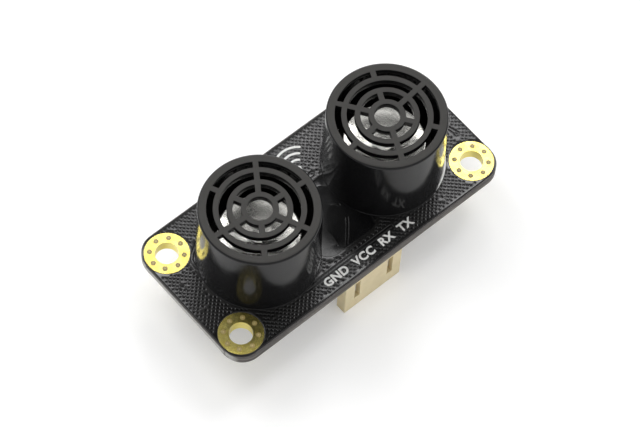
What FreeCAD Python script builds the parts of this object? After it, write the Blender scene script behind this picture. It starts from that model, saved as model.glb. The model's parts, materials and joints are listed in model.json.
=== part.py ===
import FreeCAD, Part
import Sketcher
import os
import re

# Twin-head ultrasonic ranging sensor, in millimetres. The origin is the centre of the mounting
# hole pattern on the board's underside, +X runs along the board and +Z points out of the heads.

SIZES = {
    # Circuit board
    "board_length": 47.0,
    "board_width": 22.1,
    "board_thick": 1.6,
    "board_corner": 3.0,
    "edge_web": 0.12,
    "score_depth": 0.12,
    "score_height": 0.35,
    # Mounting holes, their plated pads and the ring of small vias in each pad
    "hole_span_long": 40.5,
    "hole_span_wide": 15.24,
    "screw_hole": 3.2,
    "pad_dia": 6.1,
    "plating": 0.1,
    "copper_thick": 0.05,
    "stitch_circle": 4.6,
    "stitch_hole": 0.5,
    "stitch_count": 8,
    # Transducer housings
    "head_spacing": 21.8,
    "can_height": 12.35,
    "can_base_radius": 8.35,
    "can_top_radius": 8.1,
    "can_wall": 1.05,
    "can_edge_round": 0.4,
    # Grille: a centre hole and three rings of slots between spokes
    "grille_thick": 1.0,
    "grille_hole": 1.72,
    "grille_ring": 0.75,
    "inner_slot_width": 1.07,
    "middle_slot_width": 1.04,
    "outer_slot_width": 0.83,
    "spoke_width": 0.78,
    "spokes_outer": 6,
    "spokes_middle": 3,
    "spokes_inner": 6,
    "spoke_turn_transmitter": 54.9,
    "spoke_turn_receiver": 5.2,
    # Inside each transducer
    "base_plate_thick": 1.2,
    "seat_inner": 3.0,
    "seat_outer": 4.0,
    "seat_height": 3.3,
    "seat_notch": 0.6,
    "piezo_radius": 2.8,
    "piezo_thick": 0.6,
    "vibrator_radius": 4.4,
    "vibrator_thick": 0.2,
    "cone_foot": 1.6,
    "cone_mouth": 5.5,
    "cone_height": 1.25,
    "cone_wall": 0.25,
    # Transducer terminals, their inner wires and their solder
    "terminal_span": 10.0,
    "terminal_dia": 0.7,
    "terminal_drop": 0.4,
    "terminal_below": 1.3,
    "wire_dia": 0.2,
    "wire_land": 4.1,
    "wire_end": 1.5,
    "joint_land": 1.15,
    "joint_radius": 1.0,
    "joint_tip": 0.45,
    "joint_height": 0.9,
    # Four-way plug header under the board
    "header_length": 9.9,
    "header_depth": 4.6,
    "header_height": 6.8,
    "header_wall": 0.8,
    "header_base": 2.0,
    "header_corner": 0.15,
    "slot_span": 5.74,
    "slot_width": 0.95,
    "slot_top": 0.3,
    "slot_end": 4.45,
    "slot_relief": 0.6,
    "notch_width": 1.5,
    "notch_height": 2.8,
    "pin_pitch": 2.0,
    "pin_count": 4,
    "pin_square": 0.5,
    "pin_inset": 1.0,
    "tail_thick": 0.3,
    "tail_reach": 1.3,
    "tab_width": 1.5,
    "tab_foot": 1.3,
    "tab_leg": 2.2,
    "tab_inset": 3.3,
    # Small-outline packages: leads on each side, pitch, lead width, body and reach
    "lead_thick": 0.15,
    "lead_shoulder": 0.3,
    "package_standoff": 0.1,
    "package_edge": 0.15,
    "fine_leads": 10,
    "fine_pitch": 0.65,
    "fine_lead_width": 0.25,
    "fine_body_width": 4.4,
    "fine_body_height": 1.0,
    "fine_reach": 3.2,
    "amplifier_leads": 7,
    "driver_leads": 4,
    "wide_pitch": 1.27,
    "wide_lead_width": 0.4,
    "wide_body_width": 3.9,
    "wide_body_height": 1.5,
    "wide_reach": 3.0,
    "tiny_leads": 3,
    "tiny_pitch": 0.95,
    "tiny_lead_width": 0.35,
    "tiny_body_width": 1.6,
    "tiny_body_height": 1.1,
    "tiny_reach": 1.4,
    # Chips, crystal and bulk capacitor
    "chip_length": 1.6,
    "chip_width": 0.8,
    "chip_cap": 0.3,
    "chip_pitch": 1.5,
    "resistor_count": 6,
    "resistor_height": 0.45,
    "capacitor_count": 5,
    "capacitor_height": 0.8,
    "crystal_length": 3.2,
    "crystal_width": 2.5,
    "crystal_height": 0.8,
    "crystal_corner": 0.4,
    "bulk_length": 3.5,
    "bulk_width": 2.8,
    "bulk_height": 1.9,
    "bulk_tab_width": 2.2,
    "bulk_tab_thick": 0.12,
    "bulk_foot": 0.8,
    # Where the underside components lie
    "controller_rise": 3.0,
    "crystal_rise": 8.6,
    "package_shift": 12.2,
    "package_fall": 5.2,
    "regulator_shift": 12.5,
    "regulator_rise": 4.6,
    "bulk_shift": 7.4,
    "bulk_rise": 5.0,
    "chip_shift": 11.7,
    "resistor_rise": 3.2,
    "capacitor_rise": 6.4,
    # Running clearances and the overrun of cutting tools
    "fit": 0.05,
    "overlap": 0.25,
    "cut_margin": 1.0,
}

WORDS = re.compile(r"\b(" + "|".join(SIZES) + r")\b")

doc = FreeCAD.newDocument("ultrasonic_sensor")
sheet = doc.addObject("Spreadsheet::Sheet", "dims")
for row, (alias, size) in enumerate(SIZES.items(), start=1):
    sheet.set(f"A{row}", alias)
    sheet.set(f"B{row}", str(size))
    sheet.setAlias(f"B{row}", alias)
doc.recompute()

pieces = []


# Formulas and placing

def sized(formula):
    """A formula over the sheet's aliases, as another object's expression."""
    return WORDS.sub(r"dims.\1", formula)


def worked_out(formula):
    return float(sheet.evalExpression(formula))


def bind(thing, **formulas):
    for name, formula in formulas.items():
        thing.setExpression(name, sized(formula))


def place(thing, x="0", y="0", z="0", turn="0"):
    thing.setExpression("Placement.Base.x", sized(x))
    thing.setExpression("Placement.Base.y", sized(y))
    thing.setExpression("Placement.Base.z", sized(z))
    if turn != "0":
        thing.setExpression("Placement.Rotation.Angle", sized(turn))
    return thing


def piece(thing, label):
    thing.Label = label
    pieces.append(thing)


# Primitives and booleans

def block(name, length, width, height, x="0", y="0", z="0"):
    """A box centred on x and y, with its lowest face at z."""
    box = doc.addObject("Part::Box", name)
    bind(box, Length=length, Width=width, Height=height)
    return place(box, f"({x}) - ({length}) / 2", f"({y}) - ({width}) / 2", z)


def rod(name, radius, height, x="0", y="0", z="0"):
    cylinder = doc.addObject("Part::Cylinder", name)
    bind(cylinder, Radius=radius, Height=height)
    return place(cylinder, x, y, z)


def gather(name, things):
    compound = doc.addObject("Part::Compound", name)
    compound.Links = things
    return compound


def fuse(name, things):
    union = doc.addObject("Part::MultiFuse", name)
    union.Shapes = things
    return union


def cut(name, base, tools):
    difference = doc.addObject("Part::Cut", name)
    difference.Base = base
    difference.Tool = tools[0] if len(tools) == 1 else fuse(name + "_tools", tools)
    return difference


# Bodies and sketches

def new_body(name):
    return doc.addObject("PartDesign::Body", name)


def origin_part(body, role):
    return next(part for part in body.Origin.OriginFeatures if part.Role == role)


def new_sketch(body, name, plane):
    sketch = body.newObject("Sketcher::SketchObject", name)
    sketch.AttachmentSupport = [(origin_part(body, plane), "")]
    sketch.MapMode = "FlatFace"
    return sketch


def hold_point(sketch, geometry, end, x, y):
    """Ties one point of a sketch to formulas for its two coordinates."""
    for kind, formula in (("DistanceX", x), ("DistanceY", y)):
        rule = Sketcher.Constraint(kind, -1, 1, geometry, end, worked_out(formula))
        index = sketch.addConstraint(rule)
        sketch.setExpression(f"Constraints[{index}]", sized(formula))


def draw_outline(sketch, corners):
    """A closed run of straight lines through corners given as pairs of formulas."""
    spots = [FreeCAD.Vector(worked_out(x), worked_out(y), 0) for x, y in corners]
    first = sketch.GeometryCount
    last = first + len(spots) - 1
    for spot, following in zip(spots, spots[1:] + spots[:1]):
        sketch.addGeometry(Part.LineSegment(spot, following), False)
    for line in range(first, last):
        sketch.addConstraint(Sketcher.Constraint("Coincident", line, 2, line + 1, 1))
    sketch.addConstraint(Sketcher.Constraint("Coincident", last, 2, first, 1))
    for line, (x, y) in enumerate(corners, start=first):
        hold_point(sketch, line, 1, x, y)


def draw_circle(sketch, radius, x="0", y="0"):
    centre = FreeCAD.Vector(worked_out(x), worked_out(y), 0)
    up = FreeCAD.Vector(0, 0, 1)
    circle = sketch.addGeometry(Part.Circle(centre, up, worked_out(radius)), False)
    hold_point(sketch, circle, 3, x, y)
    index = sketch.addConstraint(Sketcher.Constraint("Radius", circle, worked_out(radius)))
    sketch.setExpression(f"Constraints[{index}]", sized(radius))


def rectangle(length, width):
    across = f"({length}) / 2"
    along = f"({width}) / 2"
    return [(f"-{across}", f"-{along}"), (across, f"-{along}"), (across, along),
            (f"-{across}", along)]


def pad(body, sketch, length, both_ways=False):
    feature = body.newObject("PartDesign::Pad", sketch.Name + "_pad")
    feature.Profile = sketch
    feature.Midplane = both_ways
    bind(feature, Length=length)
    return feature


def pocket(body, sketch):
    """A cut right through the body, both ways from the sketch."""
    feature = body.newObject("PartDesign::Pocket", sketch.Name + "_pocket")
    feature.Profile = sketch
    feature.Type = "ThroughAll"
    feature.Midplane = True
    return feature


def revolve(body, sketch):
    feature = body.newObject("PartDesign::Revolution", sketch.Name + "_turned")
    feature.Profile = sketch
    feature.ReferenceAxis = (sketch, ["V_Axis"])
    return feature


def round_edges(body, feature, chosen, radius):
    """Rounds the edges of a body's last feature for which chosen(edge) is true."""
    doc.recompute()
    names = [f"Edge{number}" for number, edge in enumerate(feature.Shape.Edges, start=1)
             if chosen(edge)]
    fillet = body.newObject("PartDesign::Fillet", feature.Name + "_rounded")
    fillet.Base = (feature, names)
    bind(fillet, Radius=radius)
    return fillet


def upright(edge):
    """True for a straight edge that runs along Z."""
    return edge.Curve.TypeId == "Part::GeomLine" and abs(edge.Curve.Direction.z) > 0.999


def mirror(body, feature, plane):
    copy = body.newObject("PartDesign::Mirrored", feature.Name + "_mirrored")
    copy.Originals = [feature]
    copy.MirrorPlane = (origin_part(body, plane), [""])
    body.Tip = copy
    return copy


def ring_of(body, feature, count):
    pattern = body.newObject("PartDesign::PolarPattern", feature.Name + "_ring")
    pattern.Originals = [feature]
    pattern.Axis = (origin_part(body, "Z_Axis"), [""])
    bind(pattern, Occurrences=count)
    body.Tip = pattern
    return pattern


def lathe(name, corners):
    """A turned body from a half section of (radius, height) corners."""
    body = new_body(name)
    sketch = new_sketch(body, name + "_section", "XZ_Plane")
    draw_outline(sketch, corners)
    revolve(body, sketch)
    return body


def row_of(name, section, width, count, pitch, x, y, z, mirrored=True):
    """Like bars in a row along X, centred on x; section is drawn in Y and Z, and a mirrored row
    has a second line of bars facing the first."""
    body = new_body(name)
    sketch = new_sketch(body, name + "_section", "YZ_Plane")
    draw_outline(sketch, section)
    bar = pad(body, sketch, width, both_ways=True)
    pattern = body.newObject("PartDesign::MultiTransform", name + "_row")
    pattern.Originals = [bar]
    run = doc.addObject("PartDesign::LinearPattern", name + "_run")
    run.Direction = (origin_part(body, "X_Axis"), [""])
    run.Mode = "Spacing"
    bind(run, Offset=pitch, Occurrences=count)
    steps = [run]
    if mirrored:
        facing = doc.addObject("PartDesign::Mirrored", name + "_facing")
        facing.MirrorPlane = (origin_part(body, "XZ_Plane"), [""])
        steps.append(facing)
    pattern.Transformations = steps
    body.Tip = pattern
    return place(body, f"({x}) - (({count}) - 1) * ({pitch}) / 2", y, z)


# Circuit board

CORNERS = {"front_left": (-1, -1), "front_right": (1, -1), "rear_left": (-1, 1), "rear_right": (1, 1)}


def make_board():
    body = new_body("board")
    outline = new_sketch(body, "board_outline", "XY_Plane")
    draw_outline(outline, rectangle("board_length - 2 * edge_web", "board_width"))
    slab = pad(body, outline, "board_thick")
    round_edges(body, slab, upright, "board_corner")
    web = new_sketch(body, "break_off_web", "XY_Plane")
    draw_outline(web, rectangle("board_length", "board_width - 2 * board_corner"))
    pad(body, web, "board_thick")
    score = new_sketch(body, "score_line", "XZ_Plane")
    edge = "board_length / 2"
    draw_outline(score, [(f"{edge} - edge_web - score_depth", "board_thick"),
                         (f"{edge}", "board_thick - score_height"),
                         (f"{edge} + cut_margin", "board_thick - score_height"),
                         (f"{edge} + cut_margin", "board_thick + cut_margin"),
                         (f"{edge} - edge_web - score_depth", "board_thick + cut_margin")])
    draw_outline(score, [(f"{edge} - edge_web - score_depth", "0"),
                         (f"{edge}", "score_height"),
                         (f"{edge} + cut_margin", "score_height"),
                         (f"{edge} + cut_margin", "-cut_margin"),
                         (f"{edge} - edge_web - score_depth", "-cut_margin")])
    mirror(body, pocket(body, score), "YZ_Plane")
    drilling = new_sketch(body, "drilling", "XY_Plane")
    for across, along in CORNERS.values():
        x = f"{across} * hole_span_long / 2"
        y = f"{along} * hole_span_wide / 2"
        draw_circle(drilling, "screw_hole / 2 + plating", x, y)
        for stitch in range(int(sheet.stitch_count)):
            turn = f"{stitch} * 360 / stitch_count"
            draw_circle(drilling, "stitch_hole / 2 + plating",
                        f"{x} + stitch_circle / 2 * cos({turn})",
                        f"{y} + stitch_circle / 2 * sin({turn})")
    for head in (-1, 1):
        for side in (-1, 1):
            draw_circle(drilling, "terminal_dia / 2 + 2 * fit",
                        f"{head} * head_spacing / 2 + {side} * terminal_span / 2")
    pocket(body, drilling)
    piece(body, "circuit_board")


def make_mount_pad(corner, across, along):
    """A plated screw hole: a pad on each face, the barrel between them and a ring of vias."""
    rim = "pad_dia / 2"
    bore = "screw_hole / 2"
    top = "board_thick + copper_thick"
    label = "mount_pad_" + corner
    body = lathe(label + "_body", [(bore, "-copper_thick"), (rim, "-copper_thick"), (rim, "0"),
                                   (f"{bore} + plating", "0"),
                                   (f"{bore} + plating", "board_thick"),
                                   (rim, "board_thick"), (rim, top), (bore, top)])
    barrel = new_sketch(body, label + "_barrel", "XY_Plane")
    draw_circle(barrel, "stitch_hole / 2 + plating", "stitch_circle / 2")
    ring_of(body, pad(body, barrel, "board_thick"), "stitch_count")
    via = new_sketch(body, label + "_via", "XY_Plane")
    draw_circle(via, "stitch_hole / 2", "stitch_circle / 2")
    ring_of(body, pocket(body, via), "stitch_count")
    place(body, f"{across} * hole_span_long / 2", f"{along} * hole_span_wide / 2")
    piece(body, label)


# Transducers, built on their own axis with their lowest face at zero

SEAT_TOP = "(base_plate_thick + seat_height)"
PLATE_TOP = "(base_plate_thick + seat_height + vibrator_thick)"
DRAFT = "((can_base_radius - can_top_radius) / can_height)"
CAVITY_TOP = "(can_height - grille_thick)"


def spokes(name, count, turn):
    """Bars from the axis outward, count of them, evenly spaced from the angle turn."""
    bars = []
    for number in range(int(worked_out(count))):
        angle = f"({turn} + {number} * 360 / {count})"
        bar = doc.addObject("Part::Box", f"{name}_{number}")
        bind(bar, Length="can_top_radius", Width="spoke_width",
             Height="grille_thick + 4 * cut_margin")
        bars.append(place(bar, f"spoke_width / 2 * sin{angle}", f"-spoke_width / 2 * cos{angle}",
                          f"{CAVITY_TOP} - 2 * cut_margin", angle))
    return fuse(name, bars)


def slot_ring(name, inner, width, spoke_count, turn):
    """The slots of one ring of the grille, as the solids to cut away."""
    height = "grille_thick + 2 * cut_margin"
    bottom = f"{CAVITY_TOP} - cut_margin"
    return cut(name, rod(name + "_outer", f"{inner} + {width}", height, z=bottom),
               [rod(name + "_inner", inner, height, z=bottom),
                spokes(name + "_spokes", spoke_count, turn)])


def make_housing(head, turn):
    body = lathe(head + "_shell", [("can_base_radius", "0"), ("can_top_radius", "can_height"),
                                   ("0", "can_height"), ("0", CAVITY_TOP),
                                   ("can_top_radius - can_wall", CAVITY_TOP),
                                   ("can_base_radius - can_wall", "0")])
    rim = worked_out("can_top_radius")
    height = worked_out("can_height")
    round_edges(body, body.Tip,
                lambda edge: edge.Curve.TypeId == "Part::GeomCircle"
                and abs(edge.Curve.Radius - rim) < 0.001
                and abs(edge.Curve.Center.z - height) < 0.001,
                "can_edge_round")
    start = "(grille_hole + grille_ring)"
    middle = f"({start} + inner_slot_width + grille_ring)"
    outer = f"({middle} + middle_slot_width + grille_ring)"
    tools = [slot_ring(f"{head}_inner_slots", start, "inner_slot_width", "spokes_inner", turn),
             slot_ring(f"{head}_middle_slots", middle, "middle_slot_width", "spokes_middle", turn),
             slot_ring(f"{head}_outer_slots", outer, "outer_slot_width", "spokes_outer", turn),
             rod(f"{head}_centre_hole", "grille_hole", "grille_thick + 2 * cut_margin",
                 z=f"{CAVITY_TOP} - cut_margin")]
    return cut(head + "_housing_shape", body, tools)


def make_base_plate(head):
    radius = f"can_base_radius - can_wall - {DRAFT} * base_plate_thick - fit"
    disc = rod(head + "_base_disc", radius, "base_plate_thick")
    holes = [rod(f"{head}_terminal_hole_{number}", "terminal_dia / 2 + fit",
                 "base_plate_thick + 2 * cut_margin", f"{side} * terminal_span / 2",
                 z="-cut_margin") for number, side in enumerate((-1, 1))]
    return cut(head + "_base_plate_shape", disc, holes)


def make_seat_ring(head):
    """The soft ring that carries the vibrator, notched for the wire to the piezo disc."""
    ring = rod(head + "_seat_disc", "seat_outer", "seat_height", z="base_plate_thick")
    bore = rod(head + "_seat_bore", "seat_inner", "seat_height + 2 * cut_margin",
               z="base_plate_thick - cut_margin")
    notch = block(head + "_seat_notch", "seat_outer", "seat_notch",
                  "cut_margin + seat_height - piezo_thick + fit", "-seat_outer / 2",
                  z="base_plate_thick - cut_margin")
    return cut(head + "_seat_ring_shape", ring, [bore, notch])


def make_cone(head):
    rim = f"{PLATE_TOP} + cone_height"
    return lathe(head + "_cone_body", [("0", PLATE_TOP), ("cone_foot", PLATE_TOP),
                                       ("cone_mouth", f"{rim} - cone_wall"),
                                       ("cone_mouth", rim),
                                       ("cone_foot", f"{PLATE_TOP} + cone_wall"),
                                       ("0", f"{PLATE_TOP} + cone_wall")])


def make_terminals(head):
    low = "(board_thick + terminal_below)"
    pins = [rod(f"{head}_terminal_{number}", "terminal_dia / 2",
                f"{low} + {PLATE_TOP} - terminal_drop", f"{side} * terminal_span / 2",
                z=f"-{low}") for number, side in enumerate((-1, 1))]
    return gather(head + "_terminals_shape", pins)


def make_wires(head):
    """One wire arches from its terminal to the plate, the other runs under the piezo disc."""
    arch = doc.addObject("Part::Torus", head + "_wire_arch")
    bind(arch, Radius1="(terminal_span / 2 - wire_land) / 2", Radius2="wire_dia / 2")
    arch.Angle3 = 180
    arch.Placement.Rotation = FreeCAD.Rotation(FreeCAD.Vector(1, 0, 0), 90)
    place(arch, "(terminal_span / 2 + wire_land) / 2", "0", PLATE_TOP)
    riser = rod(head + "_wire_riser", "wire_dia / 2", "terminal_drop", "terminal_span / 2",
                z=f"{PLATE_TOP} - terminal_drop")
    lower = doc.addObject("Part::Cylinder", head + "_wire_lower")
    bind(lower, Radius="wire_dia / 2", Height="terminal_span / 2 - terminal_dia / 2 - wire_end")
    lower.Placement.Rotation = FreeCAD.Rotation(FreeCAD.Vector(0, 1, 0), 90)
    place(lower, "terminal_dia / 2 - terminal_span / 2", "0",
          f"{SEAT_TOP} - piezo_thick - wire_dia / 2")
    return gather(head + "_wires_shape", [fuse(head + "_wire_upper", [arch, riser]), lower])


def make_joints(head):
    """The solder cones round the two terminals, on the board's underside."""
    joints = []
    for number, side in enumerate((-1, 1)):
        name = f"{head}_joint_{number}"
        cone = doc.addObject("Part::Cone", name + "_cone")
        bind(cone, Radius1="joint_tip", Radius2="joint_radius", Height="joint_height")
        bottom = "-board_thick - copper_thick - joint_height"
        place(cone, f"{side} * terminal_span / 2", "0", bottom)
        bore = rod(name + "_bore", "terminal_dia / 2", "joint_height + 2 * cut_margin",
                   f"{side} * terminal_span / 2", z=f"{bottom} - cut_margin")
        joints.append(cut(name, cone, [bore]))
    return gather(head + "_joints_shape", joints)


def make_transducer(head, across, turn):
    """Every piece of one transducer with its lift above the board's top face."""
    parts = {
        "housing": (make_housing(head, turn), "0"),
        "base_plate": (make_base_plate(head), "0"),
        "seat_ring": (make_seat_ring(head), "0"),
        "piezo_disc": (rod(head + "_piezo", "piezo_radius", "piezo_thick"),
                       f"{SEAT_TOP} - piezo_thick"),
        "vibrator_plate": (rod(head + "_vibrator", "vibrator_radius", "vibrator_thick"),
                           SEAT_TOP),
        "cone": (make_cone(head), "0"),
        "terminals": (make_terminals(head), "0"),
        "lead_wires": (make_wires(head), "0"),
        "solder_joints": (make_joints(head), "0"),
    }
    for name, (part, lift) in parts.items():
        place(part, f"{across} * head_spacing / 2", "0", f"board_thick + {lift}")
        piece(part, f"{head}_{name}")


# Plug header, hanging from the board's underside with its mouth down

HEADER_FRONT = "(-board_width / 2)"
HEADER_MIDDLE = "(header_depth / 2 - board_width / 2)"
HEADER_BACK = "(header_depth - board_width / 2)"


def pin_place(number):
    return f"({number} - (pin_count - 1) / 2) * pin_pitch"


def make_header():
    body = new_body("header")
    outline = new_sketch(body, "header_outline", "XY_Plane")
    draw_outline(outline, rectangle("header_length", "header_depth"))
    round_edges(body, pad(body, outline, "header_height"), upright, "header_corner")
    place(body, "0", HEADER_MIDDLE, "-header_height")
    tools = [block("header_cavity", "header_length - 2 * header_wall",
                   "header_depth - 2 * header_wall",
                   "header_height - header_base + cut_margin", y=HEADER_MIDDLE,
                   z="-header_height - cut_margin")]
    for side in (-1, 1):
        name = "left" if side < 0 else "right"
        x = f"{side} * slot_span / 2"
        deep = "(header_wall + slot_relief + cut_margin)"
        tools.append(block(f"header_slot_{name}", "slot_width", deep, "slot_end - slot_top", x,
                           f"{HEADER_FRONT} - cut_margin + {deep} / 2", "-slot_end"))
        through = "(header_wall + 2 * cut_margin)"
        tools.append(block(f"header_notch_{name}", through, "notch_width",
                           "notch_height + cut_margin",
                           f"{side} * (header_length - header_wall) / 2", HEADER_MIDDLE,
                           "-header_height - cut_margin"))
    clear = "pin_square + 2 * fit"
    for number in range(int(sheet.pin_count)):
        x = pin_place(number)
        run = f"({HEADER_BACK} - {HEADER_MIDDLE} + pin_square / 2 + fit + cut_margin)"
        tools.append(block(f"header_pin_hole_{number + 1}", clear, clear,
                           "header_base + cut_margin", x, HEADER_MIDDLE,
                           "-header_base - cut_margin"))
        tools.append(block(f"header_tail_channel_{number + 1}", clear, run,
                           "copper_thick + tail_thick + fit + cut_margin", x,
                           f"{HEADER_BACK} + cut_margin - {run} / 2",
                           "-copper_thick - tail_thick - fit"))
    piece(cut("header_shape", body, tools), "header_housing")


def make_header_pin(number):
    """A square post in the mouth, bent back along the board to a tail behind the header."""
    name = f"header_pin_{number + 1}"
    half = "pin_square / 2"
    tip = "-header_height + pin_inset"
    body = new_body(name + "_body")
    sketch = new_sketch(body, name + "_side", "YZ_Plane")
    draw_outline(sketch, [(f"-{half}", "-copper_thick"), (f"-{half}", f"{tip} + {half}"),
                          (f"-{half} / 2", tip), (f"{half} / 2", tip),
                          (half, f"{tip} + {half}"), (half, "-copper_thick - tail_thick"),
                          ("header_depth / 2 + tail_reach", "-copper_thick - tail_thick"),
                          ("header_depth / 2 + tail_reach", "-copper_thick")])
    pad(body, sketch, "pin_square", both_ways=True)
    place(body, pin_place(number), HEADER_MIDDLE)
    piece(body, name)


def make_anchor_tabs():
    """A bent metal tab on each end of the header, soldered to the board."""
    body = new_body("anchor_tab")
    sketch = new_sketch(body, "anchor_tab_side", "XZ_Plane")
    end = "header_length / 2"
    draw_outline(sketch, [(end, "-copper_thick"), (end, "-tab_leg"),
                          (f"{end} + tail_thick", "-tab_leg"),
                          (f"{end} + tail_thick", "-copper_thick - tail_thick"),
                          (f"{end} + tail_thick + tab_foot", "-copper_thick - tail_thick"),
                          (f"{end} + tail_thick + tab_foot", "-copper_thick")])
    mirror(body, pad(body, sketch, "tab_width", both_ways=True), "YZ_Plane")
    place(body, "0", f"{HEADER_FRONT} + tab_inset")
    piece(body, "header_anchor_tabs")


# Underside electronics

def make_package(label, kind, leads, x, y):
    """A moulded package with gull-wing leads on its two long sides, and the lands under them."""
    length = f"{leads} * {kind}_pitch"
    body_width = f"{kind}_body_width"
    reach = f"{kind}_reach"
    middle = f"(package_standoff + copper_thick + {kind}_body_height / 2)"
    body = new_body(label + "_body")
    outline = new_sketch(body, label + "_outline", "XY_Plane")
    draw_outline(outline, rectangle(length, body_width))
    moulding = pad(body, outline, f"{kind}_body_height")
    doc.recompute()
    chamfer = body.newObject("PartDesign::Chamfer", label + "_bevel")
    lowest = [f"Edge{number}" for number, edge in enumerate(moulding.Shape.Edges, start=1)
              if edge.BoundBox.ZMax < 0.001]
    chamfer.Base = (moulding, lowest)
    bind(chamfer, Size="package_edge")
    place(body, x, y, f"-{middle} - {kind}_body_height / 2")
    piece(body, label)
    foot = f"{body_width} / 2 + lead_shoulder"
    section = [(f"{body_width} / 2", f"-{middle}"),
               (f"{body_width} / 2", f"-{middle} - lead_thick"),
               (f"{foot} + lead_thick", f"-{middle} - lead_thick"),
               (f"{foot} + lead_thick", "-copper_thick - lead_thick"),
               (reach, "-copper_thick - lead_thick"), (reach, "-copper_thick"),
               (foot, "-copper_thick"), (foot, f"-{middle}")]
    leads_row = row_of(label + "_lead", section, f"{kind}_lead_width", leads, f"{kind}_pitch",
                       x, y, "0")
    piece(leads_row, label + "_leads")
    return row_of(label + "_land", land_section(foot, f"{reach} + overlap"),
                  f"{kind}_lead_width + 2 * fit", leads, f"{kind}_pitch", x, y, "0")


def land_section(near, far):
    return [(near, "-copper_thick"), (far, "-copper_thick"), (far, "0"), (near, "0")]


def make_chips(name, count, height, y):
    """A row of small two-ended chips lying along Y: their bodies, end caps and lands."""
    inner = "(chip_length / 2 - chip_cap)"
    low = f"-copper_thick - {height}"
    core = [(f"-{inner}", low), (inner, low), (inner, "-copper_thick"),
            (f"-{inner}", "-copper_thick")]
    cap = [(inner, low), ("chip_length / 2", low), ("chip_length / 2", "-copper_thick"),
           (inner, "-copper_thick")]
    spot = ("chip_shift", y, "0")
    piece(row_of(name + "_core", core, "chip_width", count, "chip_pitch", *spot, mirrored=False),
          name)
    caps = row_of(name + "_cap", cap, "chip_width", count, "chip_pitch", *spot)
    lands = row_of(name + "_land", land_section(inner, "chip_length / 2 + overlap"),
                   "chip_width + 2 * fit", count, "chip_pitch", *spot)
    return caps, lands


def make_crystal():
    body = new_body("crystal_body")
    outline = new_sketch(body, "crystal_outline", "XY_Plane")
    draw_outline(outline, rectangle("crystal_length", "crystal_width"))
    round_edges(body, pad(body, outline, "crystal_height"), upright, "crystal_corner")
    place(body, "0", "crystal_rise", "-crystal_height - copper_thick")
    piece(body, "crystal")
    return row_of("crystal_land", land_section("crystal_corner", "crystal_width / 2 + overlap"),
                  "bulk_foot", "2", "crystal_length - bulk_foot", "0", "crystal_rise", "0")


def make_bulk_capacitor():
    """A moulded capacitor along Y, with a flat metal tab folded under each end."""
    spot = ("-bulk_shift", "bulk_rise")
    half = "bulk_length / 2"
    low = "-copper_thick - bulk_tab_thick"
    body = new_body("bulk_body")
    outline = new_sketch(body, "bulk_outline", "XY_Plane")
    draw_outline(outline, rectangle("bulk_width", "bulk_length"))
    pad(body, outline, "bulk_height")
    place(body, *spot, f"{low} - bulk_height")
    piece(body, "bulk_capacitor")
    middle = f"({low} - bulk_height / 2)"
    section = [(f"{half} - bulk_foot", "-copper_thick"), (f"{half} - bulk_foot", low),
               (half, low), (half, middle), (f"{half} + bulk_tab_thick", middle),
               (f"{half} + bulk_tab_thick", "-copper_thick")]
    piece(row_of("bulk_tab", section, "bulk_tab_width", "1", "bulk_width", *spot, "0"),
          "bulk_capacitor_terminals")
    return row_of("bulk_land", land_section(f"{half} - bulk_foot", f"{half} + 2 * overlap"),
                  "bulk_tab_width + 2 * fit", "1", "bulk_width", *spot, "0")


def make_header_lands():
    far = "header_depth / 2 + tail_reach + overlap"
    tails = row_of("tail_land", land_section("header_depth / 2", far), "pin_square + 4 * fit",
                   "pin_count", "pin_pitch", "0", HEADER_MIDDLE, "0", mirrored=False)
    foot = "header_length / 2"
    tabs = row_of("tab_land", land_section("-tab_width / 2 - fit", "tab_width / 2 + fit"),
                  "tab_foot", "2", "header_length + 2 * tail_thick + tab_foot + overlap", "0",
                  f"{HEADER_FRONT} + tab_inset", "0", mirrored=False)
    return [tails, tabs]


def make_terminal_lands():
    rings = []
    for head in (-1, 1):
        for side in (-1, 1):
            name = f"terminal_land_{len(rings)}"
            x = f"{head} * head_spacing / 2 + {side} * terminal_span / 2"
            disc = rod(name + "_disc", "joint_land", "copper_thick", x, z="-copper_thick")
            hole = rod(name + "_hole", "terminal_dia / 2 + 2 * fit",
                       "copper_thick + 2 * cut_margin", x, z="-copper_thick - cut_margin")
            rings.append(cut(name, disc, [hole]))
    return rings


def make_electronics():
    lands = make_terminal_lands() + make_header_lands()
    lands.append(make_package("microcontroller", "fine", "fine_leads", "0", "controller_rise"))
    lands.append(make_package("echo_amplifier", "wide", "amplifier_leads", "package_shift",
                              "-package_fall"))
    lands.append(make_package("burst_driver", "wide", "driver_leads", "-package_shift",
                              "-package_fall"))
    lands.append(make_package("voltage_regulator", "tiny", "tiny_leads", "-regulator_shift",
                              "regulator_rise"))
    lands.append(make_crystal())
    lands.append(make_bulk_capacitor())
    resistor_caps, resistor_lands = make_chips("chip_resistors", "resistor_count",
                                               "resistor_height", "resistor_rise")
    capacitor_caps, capacitor_lands = make_chips("chip_capacitors", "capacitor_count",
                                                 "capacitor_height", "capacitor_rise")
    piece(gather("end_caps", [resistor_caps, capacitor_caps]), "chip_end_caps")
    piece(gather("lands", lands + [resistor_lands, capacitor_lands]), "solder_lands")


# The whole part, checked and written

def write_parts():
    doc.recompute()
    for thing in doc.Objects:
        if "Invalid" in thing.State or "Error" in thing.State:
            raise SystemExit(f"{thing.Name} failed: {thing.State}")
        if thing.TypeId == "PartDesign::Pocket":
            if thing.Shape.Volume >= thing.BaseFeature.Shape.Volume:
                raise SystemExit(f"{thing.Name} cuts nothing")
    for part in pieces:
        if part.Shape.isNull() or not part.Shape.isValid():
            raise SystemExit(f"{part.Label} has no valid shape")
    os.makedirs("parts", exist_ok=True)
    for part in pieces:
        part.Shape.exportStep(f"parts/{part.Label}.step")
        print(part.Label, len(part.Shape.Solids), round(part.Shape.Volume, 3))


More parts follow.
